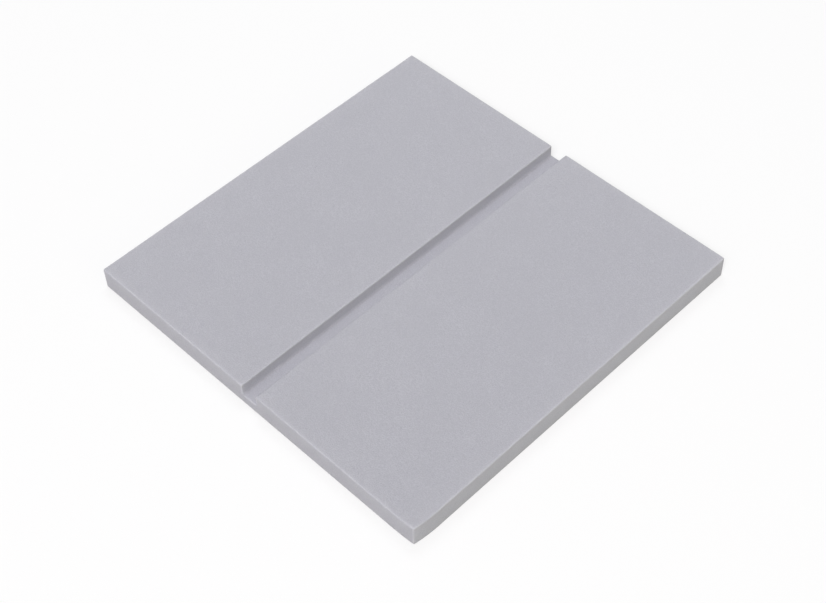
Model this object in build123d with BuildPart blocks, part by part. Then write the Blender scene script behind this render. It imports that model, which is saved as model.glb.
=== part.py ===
from build123d import *
import os

# Square acoustic panel, cut as one piece from a slab of open-cell foam.
# It lies on its back with the grooved face up: X runs along the groove, Y across it.
# The origin is the middle of the back face.

# Driving dimensions, in millimetres
side = 500.0  # both sides of the square face
thickness = 30.0  # from the back face to the front face
groove_width = 22.5  # clear width between the walls of the groove
groove_depth = 16.0  # from the front face down to the groove floor
edge_radius = 1.5  # softened edges of the front, the groove and the four corners

os.makedirs("parts", exist_ok=True)

with BuildPart() as grooved_panel:
    # The section across the groove runs the full length of the panel, from edge to edge.
    with BuildSketch(Plane.YZ):
        Rectangle(side, thickness, align=(Align.CENTER, Align.MIN))
        with Locations((0, thickness)):
            Rectangle(
                groove_width,
                groove_depth,
                align=(Align.CENTER, Align.MAX),
                mode=Mode.SUBTRACT,
            )
    extrude(amount=side / 2, both=True)

    # Every outer edge is softened, apart from those of the back, which lies flat against the wall.
    # The inner line where a groove wall meets the floor stays crisp.
    back, groove_floor = faces().filter_by(Plane.XY).sort_by(Axis.Z)[:2]
    groove_feet = groove_floor.edges().filter_by(Axis.X)
    fillet(edges() - back.edges() - groove_feet, radius=edge_radius)

grooved_panel.part.label = "grooved_panel"
export_step(grooved_panel.part, "parts/grooved_panel.step")
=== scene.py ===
"""Looks of a square foam acoustic panel with a groove across its face, lying on a pale studio floor."""

import logging
import math
from collections.abc import Mapping, Sequence
from dataclasses import dataclass
from enum import Enum
from typing import Any

import bmesh
import bpy
import numpy as np
from mathutils import Matrix, Vector, noise


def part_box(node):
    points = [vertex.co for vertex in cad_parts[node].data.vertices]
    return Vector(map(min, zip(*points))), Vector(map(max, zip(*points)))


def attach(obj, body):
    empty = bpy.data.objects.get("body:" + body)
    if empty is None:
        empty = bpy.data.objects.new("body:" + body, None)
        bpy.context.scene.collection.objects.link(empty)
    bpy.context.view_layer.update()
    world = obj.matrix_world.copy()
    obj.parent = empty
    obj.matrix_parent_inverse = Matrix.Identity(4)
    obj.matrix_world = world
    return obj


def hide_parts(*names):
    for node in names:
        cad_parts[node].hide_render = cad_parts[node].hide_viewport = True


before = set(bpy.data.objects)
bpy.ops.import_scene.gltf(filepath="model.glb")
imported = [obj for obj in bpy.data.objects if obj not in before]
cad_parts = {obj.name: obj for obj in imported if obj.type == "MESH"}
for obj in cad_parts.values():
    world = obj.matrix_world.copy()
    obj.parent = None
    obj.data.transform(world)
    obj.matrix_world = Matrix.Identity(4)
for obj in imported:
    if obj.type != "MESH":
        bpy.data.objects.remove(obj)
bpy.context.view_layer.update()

log = logging.getLogger("acoustic_panel")

MM = 0.001  # the frame is in metres
BODY = "root"
PANEL_NODE = "grooved_panel"
EDGE_ATTRIBUTE = "edge_nearness"


def linear(hex_colour: str) -> tuple[float, float, float, float]:
    """Turns an sRGB hex colour into the linear colour that a shader takes.

    Args:
        hex_colour: A colour such as "#B6B6BE".

    Returns:
        Linear red, green and blue, and an alpha of 1.
    """
    shares = [int(hex_colour[i : i + 2], 16) / 255 for i in (1, 3, 5)]
    red, green, blue = (
        s / 12.92 if s <= 0.04045 else ((s + 0.055) / 1.055) ** 2.4 for s in shares
    )
    return red, green, blue, 1.0


def add_node(
    tree: bpy.types.NodeTree,
    kind: str,
    settings: Mapping[str, Any] | None = None,
    values: Mapping[str, Any] | None = None,
    links: Mapping[str, bpy.types.NodeSocket] | None = None,
) -> bpy.types.Node:
    """Adds a node with its settings, its socket values and its links.

    Args:
        tree: The node tree that gets the node.
        kind: The node's Blender type, such as "ShaderNodeMix".
        settings: Values of the node's own properties.
        values: Values of its input sockets, by identifier.
        links: Output sockets that feed its input sockets, by identifier.

    Returns:
        The new node.
    """
    node = tree.nodes.new(kind)
    for name, value in (settings or {}).items():
        setattr(node, name, value)
    sockets = {socket.identifier: socket for socket in node.inputs}
    for name, value in (values or {}).items():
        sockets[name].default_value = value
    for name, source in (links or {}).items():
        tree.links.new(source, sockets[name])
    return node


def new_material(name: str) -> tuple[bpy.types.Material, bpy.types.NodeTree]:
    """Makes an empty node material.

    Args:
        name: The material's name.

    Returns:
        The material and its empty node tree.
    """
    material = bpy.data.materials.new(name)
    material.use_nodes = True
    material.node_tree.nodes.clear()
    return material, material.node_tree


def spread(
    tree: bpy.types.NodeTree,
    source: bpy.types.NodeSocket,
    low: float = 0.0,
    high: float = 1.0,
    to_low: float = 0.0,
    to_high: float = 1.0,
) -> bpy.types.NodeSocket:
    """Stretches a range of values to another range, and cuts off what lies outside it.

    Args:
        tree: The node tree.
        source: The values.
        low: The value that becomes to_low.
        high: The value that becomes to_high.
        to_low: The new value at low.
        to_high: The new value at high.

    Returns:
        The stretched values.
    """
    node = add_node(
        tree,
        "ShaderNodeMapRange",
        values={"From Min": low, "From Max": high, "To Min": to_low, "To Max": to_high},
        links={"Value": source},
    )
    return node.outputs["Result"]


def blend(
    tree: bpy.types.NodeTree,
    share: bpy.types.NodeSocket,
    first: str | bpy.types.NodeSocket,
    second: str | bpy.types.NodeSocket,
) -> bpy.types.NodeSocket:
    """Mixes two colours.

    Args:
        tree: The node tree.
        share: How much of the second colour there is.
        first: A hex colour or a colour socket.
        second: A hex colour or a colour socket.

    Returns:
        The mixed colour.
    """
    ends = {"A_Color": first, "B_Color": second}
    node = add_node(
        tree,
        "ShaderNodeMix",
        settings={"data_type": "RGBA"},
        values={name: linear(end) for name, end in ends.items() if isinstance(end, str)},
        links={
            "Factor_Float": share,
            **{name: end for name, end in ends.items() if not isinstance(end, str)},
        },
    )
    return node.outputs["Result"]


@dataclass(frozen=True)
class KnifeCutFoam:
    """Open-cell foam cut with an oscillating knife.

    The cut opens thousands of tiny cells, so the surface has no gloss and reads as fine, even felt
    with a pinhole here and there. Light sinks into the pale cells and comes out again some way off,
    which softens the edges and the shadows in the groove.
    """

    wall_colour: str = "#BCBCC3"
    pore_shade_colour: str = "#A5A5AD"  # painted shade: the eye looks into an open cell, so it is drawn darker than its walls
    cloud_colour: str = "#B3B3BA"
    edge_highlight_colour: str = "#C4C3C8"  # painted highlight: the cut edges are drawn paler, where light glows out through the foam
    cell_mm: float = 1.2  # real cells are 0.3 mm, too fine to show, so they are drawn coarser
    cell_middle: float = 0.25  # in cell widths from the centre of a cell, where its wall starts to rise
    cell_rim: float = 0.75  # where its wall is at full height
    cell_height: float = 0.45  # an ordinary cell's middle, between a pinhole at 0 and the walls at 1
    pinhole_mm: float = 1.2
    pinhole_spacing_mm: float = 3.6
    relief_mm: float = 0.16
    cloud_mm: float = 48.0  # the cells change in size across the slab
    cloud_detail: float = 2.0
    cloud_low: float = 0.35  # the noise below this is clear
    cloud_high: float = 0.65  # the noise above this is fully clouded
    cloud_share: float = 0.3
    edge_highlight_share: float = 0.25
    cell_wall_roughness: float = 0.9
    pore_roughness: float = 1.0
    ior: float = 1.5
    specular: float = 0.15
    sheen: float = 0.12
    sheen_roughness: float = 0.6
    glow_mm: float = 4.0  # how far light travels inside before it comes out again

    def material(self) -> bpy.types.Material:
        """Builds the foam as a node material.

        Returns:
            The material, for a mesh that carries the edge attribute.
        """
        material, tree = new_material("open_cell_foam_knife_cut")
        place = add_node(tree, "ShaderNodeTexCoord").outputs["Object"]
        height = self._height(tree, place)
        relief = add_node(
            tree,
            "ShaderNodeBump",
            values={"Distance": self.relief_mm * MM},
            links={"Height": height},
        )
        foam = add_node(
            tree,
            "ShaderNodeBsdfPrincipled",
            values={
                "IOR": self.ior,
                "Specular IOR Level": self.specular,
                "Sheen Weight": self.sheen,
                "Sheen Roughness": self.sheen_roughness,
                "Subsurface Weight": 1.0,
                "Subsurface Radius": (1.0, 1.0, 1.0),
                "Subsurface Scale": self.glow_mm * MM,
            },
            links={
                "Base Color": self._shade(tree, place, height),
                "Roughness": spread(
                    tree,
                    height,
                    to_low=self.pore_roughness,
                    to_high=self.cell_wall_roughness,
                ),
                "Normal": relief.outputs["Normal"],
            },
        )
        add_node(
            tree,
            "ShaderNodeOutputMaterial",
            links={"Surface": foam.outputs["BSDF"]},
        )
        return material

    def _height(
        self, tree: bpy.types.NodeTree, place: bpy.types.NodeSocket
    ) -> bpy.types.NodeSocket:
        """Draws the cells that the knife opened, and the pinholes among them.

        Args:
            tree: The foam's node tree.
            place: The point on the panel.

        Returns:
            Heights from 0 in a pinhole to 1 on the walls between cells.
        """
        cells, holes = (
            add_node(
                tree,
                "ShaderNodeTexVoronoi",
                values={"Scale": 1 / (spacing * MM)},
                links={"Vector": place},
            ).outputs["Distance"]
            for spacing in (self.cell_mm, self.pinhole_spacing_mm)
        )
        rim = self.pinhole_mm / 2 / self.pinhole_spacing_mm
        height = add_node(
            tree,
            "ShaderNodeMath",
            settings={"operation": "MULTIPLY"},
            links={
                "Value": spread(
                    tree,
                    cells,
                    self.cell_middle,
                    self.cell_rim,
                    to_low=self.cell_height,
                ),
                "Value_001": spread(tree, holes, rim / 2, rim),
            },
        )
        return height.outputs["Value"]

    def _shade(
        self,
        tree: bpy.types.NodeTree,
        place: bpy.types.NodeSocket,
        height: bpy.types.NodeSocket,
    ) -> bpy.types.NodeSocket:
        """Colours the foam: painted shade in its open cells, faintly cloudy, and a painted highlight along
        its cut edges.

        Args:
            tree: The foam's node tree.
            place: The point on the panel.
            height: The heights of its cells.

        Returns:
            The foam's colour.
        """
        clouds = add_node(
            tree,
            "ShaderNodeTexNoise",
            values={"Scale": 1 / (self.cloud_mm * MM), "Detail": self.cloud_detail},
            links={"Vector": place},
        )
        edges = add_node(
            tree,
            "ShaderNodeAttribute",
            settings={"attribute_name": EDGE_ATTRIBUTE},
        )
        cloudy = spread(
            tree,
            clouds.outputs["Fac"],
            self.cloud_low,
            self.cloud_high,
            to_high=self.cloud_share,
        )
        # painted highlight along the cut edges, strongest on the edge itself
        edge_highlight = spread(tree, edges.outputs["Fac"], to_high=self.edge_highlight_share)
        # painted shade in the open cells and pinholes
        shade = blend(tree, height, self.pore_shade_colour, self.wall_colour)
        shade = blend(tree, cloudy, shade, self.cloud_colour)
        return blend(tree, edge_highlight, shade, self.edge_highlight_colour)


def seen_by_camera(tree: bpy.types.NodeTree) -> bpy.types.NodeSocket:
    """Tells rays that show the background from rays that light the object.

    The background shows straight to the camera, in gloss and through glass.

    Args:
        tree: The node tree that gets the test.

    Returns:
        A socket that is 1 for camera, glossy and transmission rays, and 0 for the rest.
    """
    path = add_node(tree, "ShaderNodeLightPath")
    direct = add_node(
        tree,
        "ShaderNodeMath",
        settings={"operation": "MAXIMUM"},
        links={
            "Value": path.outputs["Is Camera Ray"],
            "Value_001": path.outputs["Is Glossy Ray"],
        },
    )
    shown = add_node(
        tree,
        "ShaderNodeMath",
        settings={"operation": "MAXIMUM"},
        links={
            "Value": direct.outputs["Value"],
            "Value_001": path.outputs["Is Transmission Ray"],
        },
    )
    return shown.outputs["Value"]


@dataclass(frozen=True)
class PaperSweep:
    """Matt backdrop paper: it shows as plain white with a soft shadow, without grain or gloss.

    The light that it throws back on the panel is toned down to grey, as from a large room.
    """

    bounce_colour: str = "#B8B8B8"
    shown_colour: str = "#F8F8F8"
    shown_glow: float = 0.6  # the share of its brightness that shadows leave untouched

    def material(self) -> bpy.types.Material:
        """Builds the paper as a node material.

        Returns:
            A matt material that is lifted towards white for the camera, with shadows kept.
        """
        material, tree = new_material("backdrop_paper_matt")
        seen = seen_by_camera(tree)
        paper = add_node(
            tree,
            "ShaderNodeBsdfDiffuse",
            links={"Color": blend(tree, seen, self.bounce_colour, self.shown_colour)},
        )
        white = add_node(tree, "ShaderNodeEmission", values={"Strength": 1.0})
        lifted = add_node(
            tree,
            "ShaderNodeMixShader",
            links={
                "Fac": spread(tree, seen, to_high=self.shown_glow),
                "Shader": paper.outputs["BSDF"],
                "Shader_001": white.outputs["Emission"],
            },
        )
        add_node(
            tree,
            "ShaderNodeOutputMaterial",
            links={"Surface": lifted.outputs["Shader"]},
        )
        return material


def vectors(items: bpy.types.bpy_prop_collection, name: str) -> np.ndarray:
    """Reads one vector of every item of a mesh.

    Args:
        items: The mesh's vertices or normals.
        name: The vector's property.

    Returns:
        One row of three numbers for each item.
    """
    flat = np.empty(len(items) * 3, np.float32)
    items.foreach_get(name, flat)
    return flat.reshape(-1, 3)


class Axis(Enum):
    """The frame's axes, as places in a vector."""

    ALONG_GROOVE = 0
    ACROSS_GROOVE = 1
    UP = 2


@dataclass
class GroovedPanel:
    """The foam slab: a square with one straight groove across the middle of its face.

    Sizes are in metres. The first five come from the CAD node, and the rest set its mesh, pressed-in
    corner, painted edge highlight and relief.
    """

    length: float
    width: float
    thickness: float
    groove_width: float
    groove_floor: float
    edge_radius: float = 1.5 * MM
    edge_steps: int = 4
    sharp_deg: float = 50.0  # an edge that turns outwards by more than this is rounded
    blunt_x: float = 1.2 * MM  # handling has pressed in the front corner, at -X and -Y
    blunt_y: float = 3.0 * MM
    blunt_reach: float = 36 * MM
    mesh_step: float = 3.4 * MM
    wave_length: float = 75 * MM  # the knife wanders a little as it follows the slab
    wave_height: float = 0.16 * MM
    ripple_length: float = 19 * MM
    ripple_height: float = 0.05 * MM
    highlight_falloff: float = 6.5 * MM  # how far the painted highlight beside a cut edge reaches
    highlight_side_reach: float = 1.8  # the painted highlight reaches further down a side than over the face
    lip_highlight_share: float = 0.2  # the painted highlight is weaker along the groove's lips than along the outer edges

    @classmethod
    def from_frame(cls, node: bpy.types.Object) -> "GroovedPanel":
        """Measures the panel and its groove on the CAD node.

        Args:
            node: The CAD node's object.

        Returns:
            A panel of the node's sizes.
        """
        low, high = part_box(node.name)
        size = high - low
        above = Vector((0, 0, high.z + size.z))
        _, floor, _, _ = node.ray_cast(above, Vector((0, 0, -1)))
        inside = Vector((0, 0, (floor.z + high.z) / 2))
        _, wall, _, _ = node.ray_cast(inside, Vector((0, 1, 0)))
        return cls(size.x, size.y, size.z, 2 * wall.y, floor.z)

    def build(self) -> bpy.types.Object:
        """Makes the foam mesh in its place.

        Returns:
            The panel's object, with the edge attribute for its painted edge highlight.
        """
        mesh = bpy.data.meshes.new("foam_slab")
        points, quads = self._blocks()
        mesh.from_pydata(points.tolist(), [], quads.tolist())
        self._soften(mesh)
        self._wander(mesh)
        self._mark_edges(mesh)
        self._blunt(mesh)
        mesh.shade_smooth()
        piece = bpy.data.objects.new("foam_slab", mesh)
        bpy.context.scene.collection.objects.link(piece)
        return piece

    def dress(self, piece: bpy.types.Object, foam: KnifeCutFoam) -> None:
        """Gives the slab its finish and sets it in the frame.

        Args:
            piece: The panel's object.
            foam: The finish.
        """
        piece.data.materials.append(foam.material())
        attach(piece, BODY)
        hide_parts(PANEL_NODE)

    def _steps(self, *stops: float) -> np.ndarray:
        """Divides the stretches between stops into even steps of about the mesh's step.

        Args:
            *stops: Places that get a grid line, in rising order.

        Returns:
            All grid lines, in rising order.
        """
        lines = [
            np.linspace(a, b, max(1, round((b - a) / self.mesh_step)), endpoint=False)
            for a, b in zip(stops, stops[1:])
        ]
        return np.concatenate([*lines, [stops[-1]]])

    def _blocks(self) -> tuple[np.ndarray, np.ndarray]:
        """Builds the sharp-edged slab as the outer faces of a grid of blocks, without the groove's blocks.

        Returns:
            The corner points, and the faces as rows of four point numbers, wound outwards.
        """
        end, side, wall = self.length / 2, self.width / 2, self.groove_width / 2
        grid = (
            self._steps(-end, end),
            self._steps(-side, -wall, wall, side),
            self._steps(0.0, self.groove_floor, self.thickness),
        )
        middle = [(line[1:] + line[:-1]) / 2 for line in grid]
        _, y, z = np.meshgrid(*middle, indexing="ij")
        solid = (np.abs(y) > wall) | (z < self.groove_floor)
        filled = np.pad(solid, 1).astype(np.int8)
        shape = tuple(len(line) for line in grid)
        quads = []
        for axis in Axis:
            a = axis.value
            b, c = (a + 1) % 3, (a + 2) % 3
            change = np.diff(filled, axis=a)
            for starts, turn in ((1, (0, 3, 2, 1)), (-1, (0, 1, 2, 3))):
                at = np.argwhere(change == starts)
                at[:, [b, c]] -= 1
                corners = np.repeat(at[:, None, :], 4, axis=1)
                corners[:, [1, 2], b] += 1
                corners[:, [2, 3], c] += 1
                numbers = np.ravel_multi_index(tuple(np.moveaxis(corners, 2, 0)), shape)
                quads.append(numbers[:, turn])
        used, quads = np.unique(np.concatenate(quads), return_inverse=True)
        places = np.unravel_index(used, shape)
        points = np.stack([line[i] for line, i in zip(grid, places)], axis=1)
        return points, quads.reshape(-1, 4)

    def _soften(self, mesh: bpy.types.Mesh) -> None:
        """Rounds every outer edge, and leaves the inner lines at the foot of the groove's walls crisp.

        Args:
            mesh: The sharp-edged slab.
        """
        sharp = math.radians(self.sharp_deg)
        work = bmesh.new()
        work.from_mesh(mesh)
        bmesh.ops.bevel(
            work,
            geom=[e for e in work.edges if e.calc_face_angle_signed() > sharp],
            offset=self.edge_radius,
            offset_type="OFFSET",
            segments=self.edge_steps,
            profile=0.5,
            affect="EDGES",
        )
        work.to_mesh(mesh)
        work.free()

    def _wander(self, mesh: bpy.types.Mesh) -> None:
        """Moves the surface in and out a little, as a knife leaves it, with the back kept flat.

        Args:
            mesh: The softened slab.
        """
        points = vectors(mesh.vertices, "co")
        normals = vectors(mesh.vertex_normals, "vector")
        free = np.clip(points[:, 2] / self.groove_floor, 0, 1)
        shift = free * [self._unevenness(Vector(p)) for p in points]
        mesh.vertices.foreach_set("co", (points + normals * shift[:, None]).ravel())
        mesh.update()

    def _unevenness(self, point: Vector) -> float:
        """Gives how far the surface stands proud at a point.

        Args:
            point: A place on the slab.

        Returns:
            The distance outwards, in metres.
        """
        wave = noise.noise(point / self.wave_length) * self.wave_height
        return wave + noise.noise(point / self.ripple_length) * self.ripple_height

    def _mark_edges(self, mesh: bpy.types.Mesh) -> None:
        """Stores how near each point is to a cut edge, from 1 on the edge to 0 on open faces, for the
        painted edge highlight.

        Args:
            mesh: The slab, with its corners still square.
        """
        x, y, z = np.abs(vectors(mesh.vertices, "co")).T
        to_end, to_side = self.length / 2 - x, self.width / 2 - y
        to_front, to_wall = self.thickness - z, y - self.groove_width / 2
        below_floor = np.maximum(0, self.groove_floor - z)
        down_side = to_front / self.highlight_side_reach
        outer = (
            np.hypot(down_side, to_end),
            np.hypot(down_side, to_side),
            np.hypot(to_end, to_side),
        )
        lips = (
            np.hypot(to_front, to_wall),
            np.sqrt(to_end**2 + to_wall**2 + below_floor**2),
        )
        nearness = np.maximum(
            np.exp(-np.min(outer, axis=0) / self.highlight_falloff),
            np.exp(-np.min(lips, axis=0) / self.highlight_falloff) * self.lip_highlight_share,
        )
        attribute = mesh.attributes.new(EDGE_ATTRIBUTE, "FLOAT", "POINT")
        attribute.data.foreach_set("value", nearness.astype(np.float32))

    def _blunt(self, mesh: bpy.types.Mesh) -> None:
        """Presses in the front corner, which keeps its upright edge.

        Args:
            mesh: The slab with its edges marked.
        """
        points = vectors(mesh.vertices, "co")
        corner = np.array([-self.length / 2, -self.width / 2])
        away = np.linalg.norm(points[:, :2] - corner, axis=1)
        share = np.clip(1 - away / self.blunt_reach, 0, 1) ** 2
        points[:, :2] += share[:, None] * [self.blunt_x, self.blunt_y]
        mesh.vertices.foreach_set("co", points.ravel())
        mesh.update()


def direction(azimuth_deg: float, elevation_deg: float) -> Vector:
    """Gives the way out from the panel to a lamp or the camera.

    Args:
        azimuth_deg: Turn about +Z, from 0 on the side of -Y to 90 on the side of +X.
        elevation_deg: Height above the horizon.

    Returns:
        A vector of length 1.
    """
    a, e = math.radians(azimuth_deg), math.radians(elevation_deg)
    return Vector((math.sin(a) * math.cos(e), -math.cos(a) * math.cos(e), math.sin(e)))


@dataclass(frozen=True)
class Softbox:
    """A large soft lamp, aimed at the panel."""

    name: str
    azimuth_deg: float
    elevation_deg: float
    distance: float
    side: float
    watts: float
    colour: str

    def place(self, target: Vector) -> bpy.types.Object:
        """Hangs the lamp.

        Args:
            target: The point that it is aimed at.

        Returns:
            The lamp's object.
        """
        lamp = bpy.data.lights.new(self.name, "AREA")
        lamp.shape = "SQUARE"
        lamp.size = self.side
        lamp.energy = self.watts
        lamp.color = linear(self.colour)[:3]
        thing = bpy.data.objects.new(self.name, lamp)
        towards = direction(self.azimuth_deg, self.elevation_deg)
        thing.location = target + towards * self.distance
        thing.rotation_euler = towards.to_track_quat("Z", "Y").to_euler()
        thing.visible_camera = False
        bpy.context.scene.collection.objects.link(thing)
        return thing


@dataclass
class Studio:
    """A plain pale floor under broad soft light.

    The key lamp stands at the front left, a small lamp high up behind, and a low fill in front.
    """

    floor_side: float = 14.0
    ambient: float = 0.36
    ambient_colour: str = "#FFFFFF"
    lamps: Sequence[Softbox] = (
        Softbox(
            name="key_softbox",
            azimuth_deg=-58.0,
            elevation_deg=50.0,
            distance=12.0,
            side=4.5,
            watts=1015.0,
            colour="#FFFCFD",
        ),
        Softbox(
            name="back_softbox",
            azimuth_deg=136.0,
            elevation_deg=70.0,
            distance=3.0,
            side=1.2,
            watts=15.5,
            colour="#F4FAFF",
        ),
        Softbox(
            name="fill_softbox",
            azimuth_deg=0.0,
            elevation_deg=15.0,
            distance=12.0,
            side=4.5,
            watts=72.0,
            colour="#FDFFA8",
        ),
    )

    def build(self, target: Vector) -> list[str]:
        """Lays the floor and hangs the lamps.

        Args:
            target: The middle of the panel.

        Returns:
            The names of what was made.
        """
        names = [self._floor().name]
        names += [lamp.place(target).name for lamp in self.lamps]
        self._world()
        return names

    def _floor(self) -> bpy.types.Object:
        """Lays the floor under the panel.

        Returns:
            The floor's object, marked as stage.
        """
        half = self.floor_side / 2
        mesh = bpy.data.meshes.new("studio_floor")
        corners = [(-half, -half, 0), (half, -half, 0), (half, half, 0), (-half, half, 0)]
        mesh.from_pydata(corners, [], [(0, 1, 2, 3)])
        mesh.materials.append(PaperSweep().material())
        floor = bpy.data.objects.new("studio_floor", mesh)
        bpy.context.scene.collection.objects.link(floor)
        return floor

    def _world(self) -> None:
        """Surrounds the panel with even light, which the camera sees as white."""
        world = bpy.data.worlds.new("studio_surround")
        world.use_nodes = True
        tree = world.node_tree
        tree.nodes.clear()
        light = add_node(
            tree,
            "ShaderNodeBackground",
            values={"Color": linear(self.ambient_colour)},
            links={"Strength": spread(tree, seen_by_camera(tree), to_low=self.ambient)},
        )
        add_node(
            tree,
            "ShaderNodeOutputWorld",
            links={"Surface": light.outputs["Background"]},
        )
        bpy.context.scene.world = world


@dataclass(frozen=True)
class PhotoCamera:
    """The photograph's standpoint, turned to the panel and with a lens that fills the frame with it."""

    azimuth_deg: float = -43.67
    elevation_deg: float = 50.36
    distance: float = 1.774
    roll_deg: float = 2.05
    lens_mm: float = 69.4
    sensor_mm: float = 36.0
    aim_x: float = -39.7 * MM
    aim_y: float = -39.4 * MM

    def place(self, height: float) -> bpy.types.Object:
        """Sets up the scene's camera.

        Args:
            height: The height of the point that the camera looks at.

        Returns:
            The camera's object.
        """
        data = bpy.data.cameras.new("photo_camera")
        data.lens = self.lens_mm
        data.sensor_width = self.sensor_mm
        camera = bpy.data.objects.new("photo_camera", data)
        back = direction(self.azimuth_deg, self.elevation_deg)
        level = (-back).to_track_quat("-Z", "Y").to_matrix()
        roll = Matrix.Rotation(math.radians(-self.roll_deg), 3, "Z")
        aim = Vector((self.aim_x, self.aim_y, height))
        camera.matrix_world = Matrix.LocRotScale(aim + back * self.distance, level @ roll, None)
        bpy.context.scene.collection.objects.link(camera)
        bpy.context.scene.camera = camera
        return camera


def main() -> None:
    """Builds the panel, the studio and the camera, and reports each piece."""
    logging.basicConfig(level=logging.INFO, format="%(name)s: %(message)s")
    bpy.context.scene.view_settings.view_transform = "Standard"
    panel = GroovedPanel.from_frame(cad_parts[PANEL_NODE])
    slab = panel.build()
    panel.dress(slab, KnifeCutFoam())
    log.info("%s: %d faces", slab.name, len(slab.data.polygons))
    middle = Vector((0, 0, panel.thickness))
    for name in Studio().build(middle):
        log.info("studio: %s", name)
    log.info("camera: %s", PhotoCamera().place(panel.thickness).name)


if __name__ == "__main__":
    main()
